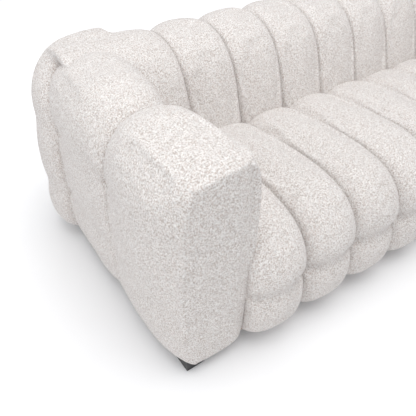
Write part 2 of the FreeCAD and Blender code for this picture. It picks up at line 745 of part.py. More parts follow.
def foot(name, x, y):
    """Square block foot, bored for its bolt, with a recess for the head."""
    half = "Sizes.foot_width / 2"
    blank = block(f"{name}_blank", (f"({x} - {half})", f"({x} + {half})"),
                  (f"({y} - {half})", f"({y} + {half})"), ("Sizes.glide", FRAME_BASE))
    recess = bar(f"{name}_recess", "(Sizes.bolt * 1.6 + 2 * Sizes.fit)", 6,
                 "(Sizes.glide + Sizes.bolt_head)", (x, y, "Sizes.glide"), "+Z")
    bore = bar(f"{name}_bore", "(Sizes.bolt + 2 * Sizes.fit)", 8, FRAME_BASE, (x, y, "Sizes.glide"), "+Z")
    return cut(name, blank, [recess, bore])


def glide(name, x, y):
    """Square felt pad under a foot."""
    reach = "Sizes.foot_width * 0.42"
    return block(f"{name}_glide", (f"({x} - {reach})", f"({x} + {reach})"),
                 (f"({y} - {reach})", f"({y} + {reach})"), ("0", "Sizes.glide"))


def feet():
    corners, middles = foot_centres()
    pieces = [foot(name, x, y) for name, x, y in corners]
    pieces.append(group("feet_middle", [foot(name, x, y) for name, x, y in middles]))
    bolts = []
    inserts = []
    glides = []
    for name, x, y in corners + middles:
        bolt, insert = foot_bolt_and_insert(name, x, y)
        bolts.append(bolt)
        inserts.append(insert)
        glides.append(glide(name, x, y))
    pieces.append(group("foot_glides", glides))
    return pieces, bolts, inserts


def arm_bolts():
    """Bolts through the seat's side rails into inserts in the arm posts."""
    bolts = []
    inserts = []
    for side, hand, axis in ((-1, "left", "-X"), (1, "right", "+X")):
        joint_x = f"({side} * ({HALF_SEAT} + Sizes.inner_pad))"
        head_x = f"({side} * ({HALF_SEAT} + Sizes.inner_pad - Sizes.board - Sizes.bolt_head))"
        for place, y in bolt_places():
            for level, height in enumerate(bolt_heights()):
                name = f"arm_{place}_{hand}_{level}"
                head = bar(f"{name}_head", "(Sizes.bolt * 1.6)", 6, "Sizes.bolt_head",
                           (head_x, y, height), axis)
                shank = bar(f"{name}_shank", "Sizes.bolt", 8, "(Sizes.bolt_length + Sizes.bolt_head)",
                            (head_x, y, height), axis)
                bolt = doc.addObject("Part::Fuse", f"{name}_bolt")
                bolt.Base = head
                bolt.Tool = shank
                bolts.append(bolt)
                inserts.append(threaded_insert(name, (joint_x, y, height), axis))
    return bolts, inserts


# Timber frame of the seat

def seat_frame():
    """Rails of the seat, its cross rails and the corner blocks between them."""
    inside = f"({HALF_SEAT} + Sizes.inner_pad)"
    clear = f"({inside} - Sizes.board)"
    rail_rear = f"({FRAME_FRONT} + Sizes.board)"
    base_front = f"({FRAME_REAR} - Sizes.board)"
    rails_z = (FRAME_BASE, RAIL_TOP)
    base_z = (FRAME_BASE, f"({FRAME_BASE} + Sizes.base_height)")
    pieces = [block("seat_front_rail", (f"(-{clear})", clear), (FRAME_FRONT, rail_rear), rails_z)]
    for side, hand in SIDES:
        x = x_span(side, f"(Sizes.arm_width - Sizes.inner_pad)",
                   f"(Sizes.arm_width - Sizes.inner_pad + Sizes.board)")
        bores = [
            bar(f"side_rail_bore_{hand}_{place}_{level}", "(Sizes.bolt + 2 * Sizes.fit)", 8,
                "Sizes.board", (f"({side} * {clear})", y, height), "+X" if side > 0 else "-X")
            for place, y in bolt_places()
            for level, height in enumerate(bolt_heights())
        ]
        blank = block(f"seat_side_rail_{hand}_blank", x, (FRAME_FRONT, FRAME_REAR), rails_z)
        pieces.append(cut(f"seat_side_rail_{hand}", blank, bores))
    pieces.append(block("seat_spring_rail", (f"(-{clear})", clear), spring_rail_y(),
                        (f"({RAIL_TOP} - Sizes.base_height)", RAIL_TOP)))
    pieces.append(block("back_base_rail", (f"(-{clear})", clear), (base_front, FRAME_REAR), base_z))
    cross_rails = [
        block(f"seat_cross_rail_{index}", (f"({middle} - Sizes.board)", f"({middle} + Sizes.board)"),
              (rail_rear, base_front), base_z)
        for index, middle in enumerate((f"-{clear} / 2", "0", f"{clear} / 2"))
    ]
    bores = [foot_bore(f"{name}_bore", x, y) for name, x, y in foot_centres()[1]]
    cross_rails[1] = cut("seat_cross_rail_middle", cross_rails[1], bores)
    pieces.append(group("seat_cross_rails", cross_rails))
    pieces.append(group("corner_blocks", corner_blocks(clear, rail_rear)))
    return pieces


def spring_rail_y():
    """Y range of the rail that carries the rear ends of the springs."""
    rear = f"({strap_line(STRAP_BASE)} - Sizes.fit)"
    return f"({rear} - Sizes.board)", rear


def corner_blocks(clear, rail_rear):
    """Triangular glue blocks in the front corners of the seat, between the bolt heads."""
    clear_of_bolts = "Sizes.base_height * 2 / 3"
    blocks = []
    for side, hand in SIDES:
        body = doc.addObject("PartDesign::Body", f"corner_block_{hand}")
        leg = "1.5 * Sizes.post"
        corners = [
            (f"{side} * {clear}", rail_rear, "0"),
            (f"{side} * ({clear} - {leg})", rail_rear, "0"),
            (f"{side} * {clear}", f"{rail_rear} + {leg}", "0"),
        ]
        plan = draw_outline(body, f"corner_block_{hand}_plan", "XY_Plane",
                            f"{FRAME_BASE} + {clear_of_bolts}", corners)
        pad(body, plan, f"Sizes.rail_height - 2 * {clear_of_bolts}")
        blocks.append(body)
    return blocks


# Back frame: shaped ribs between the base rail and the top board

def back_ribs():
    ribs = []
    count = int(number("Sizes.channel_count"))
    spring_rear = spring_rail_y()[1]
    base_front = f"({FRAME_REAR} - Sizes.board)"
    base_top = f"({FRAME_BASE} + Sizes.base_height)"
    rib_top = f"({FRAME_TOP} - Sizes.board)"
    for index in range(1, count):
        body = doc.addObject("PartDesign::Body", f"back_rib_{index}")
        corners = [
            (spring_rear, f"({RAIL_TOP} - Sizes.base_height)", "0"),
            (spring_rear, RAIL_TOP, "0"),
            (f"({strap_line(RAIL_TOP)} + Sizes.strap + Sizes.fit)", RAIL_TOP, "0"),
            (f"({strap_line(rib_top)} + Sizes.strap + Sizes.fit)", rib_top, "0"),
            (FRAME_REAR, rib_top, "0"),
            (FRAME_REAR, base_top, "0"),
            (base_front, base_top, "0"),
            (f"({base_front} - Sizes.post)", f"({RAIL_TOP} - Sizes.base_height)", "0"),
        ]
        pad(body, draw_outline(body, f"back_rib_{index}_side", "YZ_Plane", "0", corners), "Sizes.board")
        body.setExpression("Placement.Base.x",
                           f"-{HALF_SEAT} + {index} * Sizes.channel_pitch - Sizes.board / 2")
        ribs.append(body)
    return group("back_ribs", ribs)


def back_boards():
    inside = f"({HALF_SEAT} + Sizes.inner_pad)"
    board_base = f"({FRAME_TOP} - Sizes.board)"
    front_edge = f"({strap_line(FRAME_TOP)} + Sizes.strap + Sizes.fit)"
    top = block("back_top_board", (f"(-{inside})", inside), (front_edge, FRAME_REAR),
                (board_base, FRAME_TOP))
    full = f"({HALF_WIDTH} - Sizes.side_pad)"
    knee = f"({FRAME_TOP} - Sizes.frame_slope)"
    panel = doc.addObject("PartDesign::Body", "back_outer_panel")
    corners = [
        (f"(-{full})", FRAME_BASE, "0"),
        (f"(-{full})", knee, "0"),
        (f"(Sizes.frame_slope - {full})", FRAME_TOP, "0"),
        (f"({full} - Sizes.frame_slope)", FRAME_TOP, "0"),
        (full, knee, "0"),
        (full, FRAME_BASE, "0"),
    ]
    pad(panel, draw_outline(panel, "back_outer_panel_face", "XZ_Plane", f"-({FRAME_REAR} + Sizes.hardboard)",
                            corners), "Sizes.hardboard")
    return [top, panel]


def back_webbing():
    """One elastic strap behind each channel, from the spring rail to the top board."""
    straps = []
    count = int(number("Sizes.channel_count"))
    for index in range(count):
        middle = f"(-{HALF_SEAT} + {index} * Sizes.channel_pitch + Sizes.channel_pitch / 2)"
        straps.append(leaning_slab(
            f"back_strap_{index + 1}",
            (f"({middle} - Sizes.strap_width / 2)", f"({middle} + Sizes.strap_width / 2)"),
            strap_line,
            lambda height: f"({strap_line(height)} + Sizes.strap)",
            STRAP_BASE, FRAME_TOP))
    return group("back_webbing", straps)


# Seat springs: one sinuous spring under each channel, held by clips on the rails

def spring_path(front, rear, width, bend, height):
    """Middle line of a sinuous spring: even bends to the left and right."""
    bends = max(3, int((rear - front) // bend))
    step = (rear - front) / bends
    slope = step / 4
    points = [FreeCAD.Vector(0, front, height)]
    for index in range(bends):
        side = width / 2 if index % 2 else -width / 2
        points.append(FreeCAD.Vector(side, front + index * step + slope, height))
        points.append(FreeCAD.Vector(side, front + (index + 1) * step - slope, height))
    points.append(FreeCAD.Vector(0, rear, height))
    return points


def wire_along(points, thickness):
    """Square wire with mitred corners along a path."""
    spine = Part.makePolygon(points)
    heading = (points[1] - points[0]).normalize()
    across = FreeCAD.Vector(0, 0, 1)
    flank = heading.cross(across)
    half = thickness / 2
    ring = [
        points[0] + flank * (a * half) + across * (b * half)
        for a, b in ((-1, -1), (1, -1), (1, 1), (-1, 1), (-1, -1))
    ]
    return spine.makePipeShell([Part.makePolygon(ring)], True, False, 1)


def seat_springs():
    wire = number("Sizes.wire")
    height = number(f"{WIRE_BASE} + Sizes.wire / 2")
    front = number(f"{FRAME_FRONT} + Sizes.board / 2")
    rear = number(f"{spring_rail_y()[0]} + Sizes.board / 2")
    pitch = number("Sizes.channel_pitch")
    first = number(f"-{HALF_SEAT} + Sizes.channel_pitch / 2")
    spring = wire_along(
        spring_path(front, rear, number("Sizes.spring_width"), number("Sizes.spring_bend"), height), wire)
    springs = []
    for index in range(int(number("Sizes.channel_count"))):
        copy = spring.copy()
        copy.translate(FreeCAD.Vector(first + index * pitch, 0, 0))
        springs.append(copy)
    piece = doc.addObject("Part::Feature", "seat_springs")
    piece.Shape = Part.makeCompound(springs)
    return piece


def spring_clips():
    """A folded clip over each end of each spring, on the rail below it."""
    clips = []
    rear_rail = spring_rail_y()[0]
    for index in range(int(number("Sizes.channel_count"))):
        middle = f"(-{HALF_SEAT} + {index} * Sizes.channel_pitch + Sizes.channel_pitch / 2)"
        for end, y in (("front", f"({FRAME_FRONT} + Sizes.board / 2)"),
                       ("rear", f"({rear_rail} + Sizes.board / 2)")):
            body = doc.addObject("PartDesign::Body", f"clip_{end}_{index}")
            reach = "Sizes.wire * 2"
            slot = "(Sizes.wire / 2 + Sizes.fit)"
            mouth = 1 if end == "front" else -1
            corners = [
                (f"{y} - {mouth} * {reach}", RAIL_TOP, "0"),
                (f"{y} + {mouth} * {reach}", RAIL_TOP, "0"),
                (f"{y} + {mouth} * {reach}", f"{WIRE_BASE} - Sizes.fit", "0"),
                (f"{y} - {mouth} * {slot}", f"{WIRE_BASE} - Sizes.fit", "0"),
                (f"{y} - {mouth} * {slot}", f"{WIRE_BASE} + Sizes.wire + Sizes.fit", "0"),
                (f"{y} + {mouth} * {reach}", f"{WIRE_BASE} + Sizes.wire + Sizes.fit", "0"),
                (f"{y} + {mouth} * {reach}", CLIP_TOP, "0"),
                (f"{y} - {mouth} * {reach}", CLIP_TOP, "0"),
            ]
            pad(body, draw_outline(body, f"clip_{end}_{index}_side", "YZ_Plane", "0", corners),
                "Sizes.wire * 3")
            body.setExpression("Placement.Base.x", f"{middle} - Sizes.wire * 1.5")
            clips.append(body)
    return group("spring_clips", clips)


def dust_cover():
    """Thin cloth under the frame, open at the feet."""
    edge = named("@side_pad + @tuck")
    x = f"({HALF_WIDTH} - {edge})"
    y_front = f"({FRAME_FRONT} + Sizes.tuck)"
    y_rear = f"({FRAME_REAR} - Sizes.tuck)"
    z = (f"({FRAME_BASE} - 1)", FRAME_BASE)
    cloth = block("dust_cover_cloth", (f"(-{x})", x), (y_front, y_rear), z)
    corners, middles = foot_centres()
    reach = "(Sizes.foot_width / 2 + 2 * Sizes.fit)"
    holes = [
        block(f"{name}_opening", (f"({x} - {reach})", f"({x} + {reach})"),
              (f"({y} - {reach})", f"({y} + {reach})"), z)
        for name, x, y in corners + middles
    ]
    return cut("dust_cover", cloth, holes)


channel_total = int(number("Sizes.channel_count"))
parts = [seat_channel(index) for index in range(1, channel_total + 1)]
parts += [back_channel(index) for index in range(1, channel_total - 1)]
for side, hand in SIDES:
    parts += [
        arm_front_channel(side, hand),
        arm_rear_channel(side, hand),
        arm_front_panel(side, hand),
        corner_channel(side, hand),
    ]
    parts += arm_frame(side, hand)
parts.append(arm_inner_panels())
parts += seat_foam_block()
parts.append(back_foam_block())
parts += seat_frame()
parts.append(back_ribs())
parts += back_boards()
parts.append(back_webbing())
parts.append(seat_springs())
parts.append(spring_clips())
parts.append(dust_cover())
foot_pieces, foot_bolts, foot_inserts = feet()
side_bolts, side_inserts = arm_bolts()
parts += foot_pieces
parts.append(group("frame_bolts", foot_bolts + side_bolts))
parts.append(group("threaded_inserts", foot_inserts + side_inserts))
doc.recompute()

for item in doc.Objects:
    if "Invalid" in item.State or "Error" in item.State:
        raise RuntimeError(f"{item.Label} failed: {item.State}")
for piece in parts:
    if piece.Shape.isNull() or not piece.Shape.isValid():
        raise RuntimeError(f"{piece.Label} has no valid shape")

os.makedirs("parts", exist_ok=True)
for piece in parts:
    piece.Shape.exportStep(f"parts/{piece.Label}.step")
print(len(parts), "parts written")
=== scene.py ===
import math

import bpy
import numpy as np
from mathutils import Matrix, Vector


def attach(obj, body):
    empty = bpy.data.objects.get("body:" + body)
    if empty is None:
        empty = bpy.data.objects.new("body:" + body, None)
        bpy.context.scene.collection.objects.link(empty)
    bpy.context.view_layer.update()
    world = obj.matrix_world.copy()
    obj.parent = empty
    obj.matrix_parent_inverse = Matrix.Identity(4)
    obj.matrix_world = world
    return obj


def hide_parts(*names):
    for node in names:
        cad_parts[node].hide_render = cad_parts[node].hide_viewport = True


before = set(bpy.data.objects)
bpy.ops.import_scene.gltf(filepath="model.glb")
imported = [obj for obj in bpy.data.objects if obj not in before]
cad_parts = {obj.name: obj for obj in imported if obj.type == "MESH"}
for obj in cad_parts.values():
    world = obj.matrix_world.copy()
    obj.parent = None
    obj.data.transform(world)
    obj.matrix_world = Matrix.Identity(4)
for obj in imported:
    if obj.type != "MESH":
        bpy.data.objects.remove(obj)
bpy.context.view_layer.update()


# Camera
# The view looks down at the left arm from the front left, from a little under a metre away.
# Its place and lens were fitted to the straight edges of arm, seat and back.

camera_data = bpy.data.cameras.new("camera")
camera_data.lens = 39.72
camera_data.sensor_width = 36.0
camera_data.clip_end = 50.0
camera = bpy.data.objects.new("camera", camera_data)
camera.location = (-1.478, -1.059, 1.250)
camera.rotation_euler = (math.radians(90 - 39.934), 0.0, math.radians(-34.679))
bpy.context.collection.objects.link(camera)
bpy.context.scene.camera = camera


# Studio
# A white floor, a wide softbox above the front and a weaker one at the left. To the camera alone,
# the floor glows the more the farther it lies from the sofa, and the world behind it is white.

floor_mesh = bpy.data.meshes.new("studio_floor")
floor_mesh.from_pydata([(-30, -30, 0), (30, -30, 0), (30, 30, 0), (-30, 30, 0)], [], [(0, 1, 2, 3)])
floor = bpy.data.objects.new("studio_floor", floor_mesh)
bpy.context.collection.objects.link(floor)
floor_colour = (0.90, 0.90, 0.905, 1)
white = (1, 1, 1, 1)
glow_near, glow_far = 0.03, 0.34
glow_start, glow_full = 0.80, 1.50
floor_material = bpy.data.materials.new("studio_floor")
floor_material.use_nodes = True
floor_nodes, floor_links = floor_material.node_tree.nodes, floor_material.node_tree.links
floor_shader = floor_nodes["Principled BSDF"]
floor_shader.inputs["Base Color"].default_value = floor_colour
floor_shader.inputs["Roughness"].default_value = 0.9
floor_shader.inputs["Specular IOR Level"].default_value = 0.1
floor_shader.inputs["Emission Color"].default_value = white
rays = floor_nodes.new("ShaderNodeLightPath")
wash = floor_nodes.new("ShaderNodeMath")
wash.operation = "MULTIPLY"
floor_place = floor_nodes.new("ShaderNodeTexCoord")
floor_shape = floor_nodes.new("ShaderNodeMapping")
floor_shape.inputs["Scale"].default_value = (0.62, 1.0, 1.0)
floor_reach = floor_nodes.new("ShaderNodeVectorMath")
floor_reach.operation = "LENGTH"
fade = floor_nodes.new("ShaderNodeMapRange")
fade.inputs["From Min"].default_value = glow_start
fade.inputs["From Max"].default_value = glow_full
fade.inputs["To Min"].default_value = glow_near
fade.inputs["To Max"].default_value = glow_far
floor_links.new(floor_place.outputs["Object"], floor_shape.inputs["Vector"])
floor_links.new(floor_shape.outputs["Vector"], floor_reach.inputs[0])
floor_links.new(floor_reach.outputs["Value"], fade.inputs["Value"])
floor_links.new(fade.outputs["Result"], wash.inputs[1])
floor_links.new(rays.outputs["Is Camera Ray"], wash.inputs[0])
floor_links.new(wash.outputs["Value"], floor_shader.inputs["Emission Strength"])
floor_mesh.materials.append(floor_material)

world = bpy.data.worlds.new("studio")
world.use_nodes = True
world_nodes, world_links = world.node_tree.nodes, world.node_tree.links
surround = world_nodes["Background"]
surround.inputs["Color"].default_value = (0.97, 0.98, 1.0, 1)
surround.inputs["Strength"].default_value = 0.66
seen_directly = world_nodes.new("ShaderNodeLightPath")
backdrop = world_nodes.new("ShaderNodeBackground")
backdrop.inputs["Color"].default_value = white
chosen = world_nodes.new("ShaderNodeMixShader")
world_links.new(seen_directly.outputs["Is Camera Ray"], chosen.inputs["Fac"])
world_links.new(surround.outputs["Background"], chosen.inputs[1])
world_links.new(backdrop.outputs["Background"], chosen.inputs[2])
world_links.new(chosen.outputs["Shader"], world_nodes["World Output"].inputs["Surface"])
bpy.context.scene.world = world

softboxes = (
    # name, place, point it faces, width in metres, power in watts
    ("softbox_top", (-0.6, -0.7, 3.6), (-0.3, 0.0, 0.4), 3.2, 71),
    ("softbox_left", (-4.2, -0.6, 2.0), (-0.6, 0.0, 0.4), 2.6, 24),
)
for name, place, aim, size, power in softboxes:
    light_data = bpy.data.lights.new(name, "AREA")
    light_data.shape = "DISK"
    light_data.size = size
    light_data.energy = power
    light = bpy.data.objects.new(name, light_data)
    light.location = place
    away = np.array(place) - np.array(aim)
    light.rotation_mode = "QUATERNION"
    light.rotation_quaternion = Vector(away).to_track_quat("Z", "Y")
    bpy.context.collection.objects.link(light)

bpy.context.scene.view_settings.view_transform = "Standard"


# Boucle
# Cream cover of looped yarn, sewn over fibre fill on every padded piece: small pale loops with
# painted shade between them and a faint painted highlight on their tops, with a pinkish grey fleck.

cream = (0.975, 0.952, 0.930)
fleck = (0.585, 0.500, 0.455)
flecks_per_metre = 270
loops_per_metre = 190
snags_per_metre = 120
patches_per_metre = 26
loop_height = 0.003


def boucle_material(name):
    """Cream with flecks where a fine noise is low, and painted shade darkening it between the loops.

    The loops are cells pushed about by a second noise. Colour is cream or fleck, times a painted
    shade that falls with the distance from a loop's middle, from a painted highlight of 1.05 on a
    loop's top to 0.80 in the gaps, times a slow patchy tone. The bump is the fine noise less 0.6
    of the distance from a loop's middle.
    """
    material = bpy.data.materials.new(name)
    material.use_nodes = True
    tree = material.node_tree
    nodes, links = tree.nodes, tree.links
    shader = nodes["Principled BSDF"]
    place = nodes.new("ShaderNodeTexCoord")
    warp = nodes.new("ShaderNodeTexNoise")
    warp.inputs["Scale"].default_value = snags_per_metre
    warp.inputs["Detail"].default_value = 2
    bend = nodes.new("ShaderNodeMixRGB")
    bend.blend_type = "LINEAR_LIGHT"
    bend.inputs["Fac"].default_value = 0.006
    links.new(place.outputs["Object"], warp.inputs["Vector"])
    links.new(place.outputs["Object"], bend.inputs["Color1"])
    links.new(warp.outputs["Color"], bend.inputs["Color2"])
    loops = nodes.new("ShaderNodeTexVoronoi")
    loops.feature = "SMOOTH_F1"
    loops.inputs["Scale"].default_value = loops_per_metre
    loops.inputs["Smoothness"].default_value = 0.35
    links.new(bend.outputs["Color"], loops.inputs["Vector"])
    grain = nodes.new("ShaderNodeTexNoise")
    grain.inputs["Scale"].default_value = flecks_per_metre
    grain.inputs["Detail"].default_value = 3
    grain.inputs["Roughness"].default_value = 0.72
    links.new(place.outputs["Object"], grain.inputs["Vector"])
    patches = nodes.new("ShaderNodeTexNoise")
    patches.inputs["Scale"].default_value = patches_per_metre
    patches.inputs["Detail"].default_value = 4
    links.new(place.outputs["Object"], patches.inputs["Vector"])
    ramp = nodes.new("ShaderNodeValToRGB")
    ramp.color_ramp.elements[0].position = 0.39
    ramp.color_ramp.elements[0].color = (*fleck, 1)
    ramp.color_ramp.elements[1].position = 0.56
    ramp.color_ramp.elements[1].color = (*cream, 1)
    links.new(grain.outputs["Fac"], ramp.inputs["Fac"])
    # Painted shade and highlight: colour is lifted to 1.05 at a loop's middle and darkened to 0.80
    # between loops, along the same distance that lowers the bump.
    depth = nodes.new("ShaderNodeMapRange")
    depth.inputs["From Min"].default_value = 0.0
    depth.inputs["From Max"].default_value = 0.75
    depth.inputs["To Min"].default_value = 1.05
    depth.inputs["To Max"].default_value = 0.80
    links.new(loops.outputs["Distance"], depth.inputs["Value"])
    shade = nodes.new("ShaderNodeMixRGB")
    shade.blend_type = "MULTIPLY"
    shade.inputs["Fac"].default_value = 1.0
    links.new(ramp.outputs["Color"], shade.inputs["Color1"])
    links.new(depth.outputs["Result"], shade.inputs["Color2"])
    tone = nodes.new("ShaderNodeMapRange")
    tone.inputs["To Min"].default_value = 0.965
    tone.inputs["To Max"].default_value = 1.03
    links.new(patches.outputs["Fac"], tone.inputs["Value"])
    blotch = nodes.new("ShaderNodeMixRGB")
    blotch.blend_type = "MULTIPLY"
    blotch.inputs["Fac"].default_value = 1.0
    links.new(shade.outputs["Color"], blotch.inputs["Color1"])
    links.new(tone.outputs["Result"], blotch.inputs["Color2"])
    links.new(blotch.outputs["Color"], shader.inputs["Base Color"])
    height = nodes.new("ShaderNodeMath")
    height.operation = "MULTIPLY_ADD"
    height.inputs[1].default_value = -0.6
    links.new(loops.outputs["Distance"], height.inputs[0])
    links.new(grain.outputs["Fac"], height.inputs[2])
    bump = nodes.new("ShaderNodeBump")
    bump.inputs["Strength"].default_value = 0.8
    bump.inputs["Distance"].default_value = loop_height
    links.new(height.outputs["Value"], bump.inputs["Height"])
    links.new(bump.outputs["Normal"], shader.inputs["Normal"])
    shader.inputs["Roughness"].default_value = 0.95
    shader.inputs["Specular IOR Level"].default_value = 0.15
    shader.inputs["Sheen Weight"].default_value = 0.25
    shader.inputs["Sheen Roughness"].default_value = 0.5
    return material


boucle = boucle_material("boucle")


# Frame, springs and fittings
# What the cover hides: sawn timber, brown hardboard, foam, felt, webbing, steel; and the black
# feet with their felt glides, and the woven dust cloth below.

def worked_material(name, light, dark, scale, stretch, rough, metal=0.0, bump_height=0.001):
    """One noise, stretched along the grain, gives colour, roughness and bump alike.

    The colour runs from dark to light with the noise, and the roughness from 0.85 to 1.15 of
    its middle value, at most 1.
    """
    material = bpy.data.materials.new(name)
    material.use_nodes = True
    nodes, links = material.node_tree.nodes, material.node_tree.links
    shader = nodes["Principled BSDF"]
    place = nodes.new("ShaderNodeTexCoord")
    mapping = nodes.new("ShaderNodeMapping")
    mapping.inputs["Scale"].default_value = stretch
    links.new(place.outputs["Object"], mapping.inputs["Vector"])
    grain = nodes.new("ShaderNodeTexNoise")
    grain.inputs["Scale"].default_value = scale
    grain.inputs["Detail"].default_value = 5
    links.new(mapping.outputs["Vector"], grain.inputs["Vector"])
    ramp = nodes.new("ShaderNodeValToRGB")
    ramp.color_ramp.elements[0].position = 0.35
    ramp.color_ramp.elements[0].color = (*dark, 1)
    ramp.color_ramp.elements[1].position = 0.65
    ramp.color_ramp.elements[1].color = (*light, 1)
    links.new(grain.outputs["Fac"], ramp.inputs["Fac"])
    links.new(ramp.outputs["Color"], shader.inputs["Base Color"])
    sheen = nodes.new("ShaderNodeMapRange")
    sheen.inputs["To Min"].default_value = rough * 0.85
    sheen.inputs["To Max"].default_value = min(1.0, rough * 1.15)
    links.new(grain.outputs["Fac"], sheen.inputs["Value"])
    links.new(sheen.outputs["Result"], shader.inputs["Roughness"])
    bump = nodes.new("ShaderNodeBump")
    bump.inputs["Distance"].default_value = bump_height
    links.new(grain.outputs["Fac"], bump.inputs["Height"])
    links.new(bump.outputs["Normal"], shader.inputs["Normal"])
    shader.inputs["Metallic"].default_value = metal
    return material


inner_finishes = {
    # by the part's own material name: light and dark colour, grain, stretch, roughness, metal, bump
    "timber": worked_material(
        "timber_sawn", (0.66, 0.47, 0.28), (0.50, 0.32, 0.17), 60, (1, 1, 12), 0.7),
    "hardboard": worked_material(
        "hardboard_brown", (0.33, 0.20, 0.11), (0.22, 0.13, 0.07), 300, (1, 1, 1), 0.6),
    "foam": worked_material(
        "foam_cells", (0.86, 0.80, 0.62), (0.74, 0.66, 0.47), 420, (1, 1, 1), 0.95),
    "felt": worked_material(
        "felt_fibres", (0.42, 0.41, 0.40), (0.26, 0.26, 0.27), 500, (1, 0.4, 1), 0.98),
    "dust_cloth": worked_material(
        "dust_cloth_weave", (0.035, 0.035, 0.038), (0.012, 0.012, 0.014), 700, (1, 0.5, 1), 0.92,
        bump_height=0.0004),
    "webbing": worked_material(
        "webbing_weave", (0.52, 0.44, 0.33), (0.12, 0.10, 0.09), 240, (1, 0.25, 1), 0.9),
    "spring_steel": worked_material(
        "spring_steel_wire", (0.30, 0.30, 0.31), (0.16, 0.16, 0.17), 200, (1, 1, 1), 0.35,
        metal=1.0, bump_height=0.0002),
    "zinc_steel": worked_material(
        "zinc_plated", (0.68, 0.69, 0.70), (0.52, 0.54, 0.57), 260, (1, 1, 1), 0.3,
        metal=1.0, bump_height=0.0002),
    "foot_black": worked_material(
        "foot_lacquer", (0.030, 0.030, 0.032), (0.016, 0.016, 0.017), 350, (1, 1, 3), 0.42,
        bump_height=0.0003),
    "glide_felt": worked_material(
        "glide_felt_fibres", (0.11, 0.10, 0.10), (0.05, 0.05, 0.05), 800, (1, 1, 1), 0.98),
}
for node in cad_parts.values():
    for material_slot in node.material_slots:
        plain_name = material_slot.material.name.split(".")[0]
        material_slot.material = inner_finishes.get(plain_name, boucle)


# Seat channels
# Fibre-filled tubes of boucle, sewn seam to seam, from the back rest over the front rail.
# Tufting draws each one in once near the bottom, and it is stapled under the rail.

channel_pitch = 0.204
first_seam = -0.918
cover_start, cover_end = 0.0005, 0.2035   # from the seam before it: covers stay 1 mm apart
lower_row, upper_row = 0.236, 0.487       # heights of the tufted rows
tube_crown = (2.3, 0.56)
tube_ring = 44                            # points from seam to seam
tube_pressure = 3.0
tube_swell = 0.008
under_points = 12                         # of a ring, below the fill
wall_depth = 0.030
path_points = 150
fill_bumps = 0.005
cloth_frames = 14
held_points = 3                           # beside each seam and at each end


def curve_through(points, count):
    """A smooth curve through given points, sampled evenly along its length.

    Between two points it is the Catmull-Rom cubic of the four points around them.
    """
    p = np.asarray(points, float)
    p = np.vstack([2 * p[0] - p[1], p, 2 * p[-1] - p[-2]])
    fine = np.linspace(0, 1, 24, endpoint=False)[:, None, None]
    a, b, c, d = p[:-3], p[1:-2], p[2:-1], p[3:]
    cubic = 0.5 * (2 * b + (c - a) * fine + (2 * a - 5 * b + 4 * c - d) * fine ** 2
                   + (3 * b - a - 3 * c + d) * fine ** 3)
    dense = np.vstack([cubic.transpose(1, 0, 2).reshape(-1, p.shape[1]), p[-2]])
    knots = np.linspace(0, len(points) - 1, len(dense))
    steps = np.concatenate([[0], np.cumsum(np.linalg.norm(np.diff(dense[:, :2], axis=0), axis=1))])
    even = np.interp(np.linspace(0, steps[-1], count), steps, knots)
    return np.stack([np.interp(even, knots, dense[:, k]) for k in range(p.shape[1])], axis=1)


def channel_grid(profile, start, end, crown, turn, faces, rows=(), ring=tube_ring,
                 length=path_points, lift=None):
    """Points of one padded channel, as rings along its path, from its start seam to its end seam.

    profile holds crest and both seams as (crest u, v, seam u, v, seam u, v). With t from -1 to 1
    across the channel and (p, q) its crown, the surface has fallen from crest to seam by one
    less the power q of what |t| to the power p leaves of one. The ring closes below the seams
    at the wall's depth. turn is 1 or -1, for the side of the path that is outside.

    rows are (height, depth, spread) of tufting on the side that looks along u (faces 1) or
    against it (faces -1). A row draws in by its depth times a bell curve of the height, which
    is narrower at the seams, where the draw is deepest. lift adds a height over (path, t).
    """
    line = curve_through(profile, length)
    crest, seam_a, seam_b = line[:, 0:2], line[:, 2:4], line[:, 4:6]
    tangent = np.gradient(crest, axis=0)
    tangent /= np.linalg.norm(tangent, axis=1)[:, None]
    outward = turn * np.stack([-tangent[:, 1], tangent[:, 0]], axis=1)
    # The points lie closer together towards the seams.
    evenly = np.linspace(-1, 1, ring)
    t = np.sin(evenly * math.pi / 2) * 0.72 + evenly * 0.28
    off_middle = np.abs(t)[None, :]
    p, q = crown
    fall = 1 - (1 - np.abs(t) ** p) ** q
    seam = np.where(t[None, :, None] < 0, seam_a[:, None, :], seam_b[:, None, :])
    top = crest[:, None, :] + (seam - crest[:, None, :]) * fall[None, :, None]
    for height, depth, spread in rows:
        facing = np.clip(1.6 * outward[:, 0] * faces - 0.6, 0, 1)
        width = spread * (1.25 - 0.75 * off_middle ** 2)
        near = np.exp(-(((crest[:, 1] - height)[:, None] / width) ** 2))
        draw = depth * near * (0.30 + 0.70 * off_middle ** 1.6) * facing[:, None]
        top -= outward[:, None, :] * draw[:, :, None]
    if lift is not None:
        top += outward[:, None, :] * lift(line, t)[:, :, None]
    a = np.broadcast_to(np.asarray(start, float), (length,))[:, None]
    b = np.broadcast_to(np.asarray(end, float), (length,))[:, None]
    across = (a + b) / 2 + (b - a) / 2 * t[None, :]
    under_t = np.linspace(1, -1, under_points)
    mix = ((under_t + 1) / 2)[None, :, None]
    under = (seam_a[:, None, :] * (1 - mix) + seam_b[:, None, :] * mix
             - outward[:, None, :] * wall_depth)
    under_across = (a + b) / 2 + (b - a) / 2 * under_t[None, :]
    ring_uv = np.concatenate([top, under], axis=1)
    ring_w = np.concatenate([across, under_across], axis=1)
    return ring_uv[..., 0], ring_uv[..., 1], ring_w


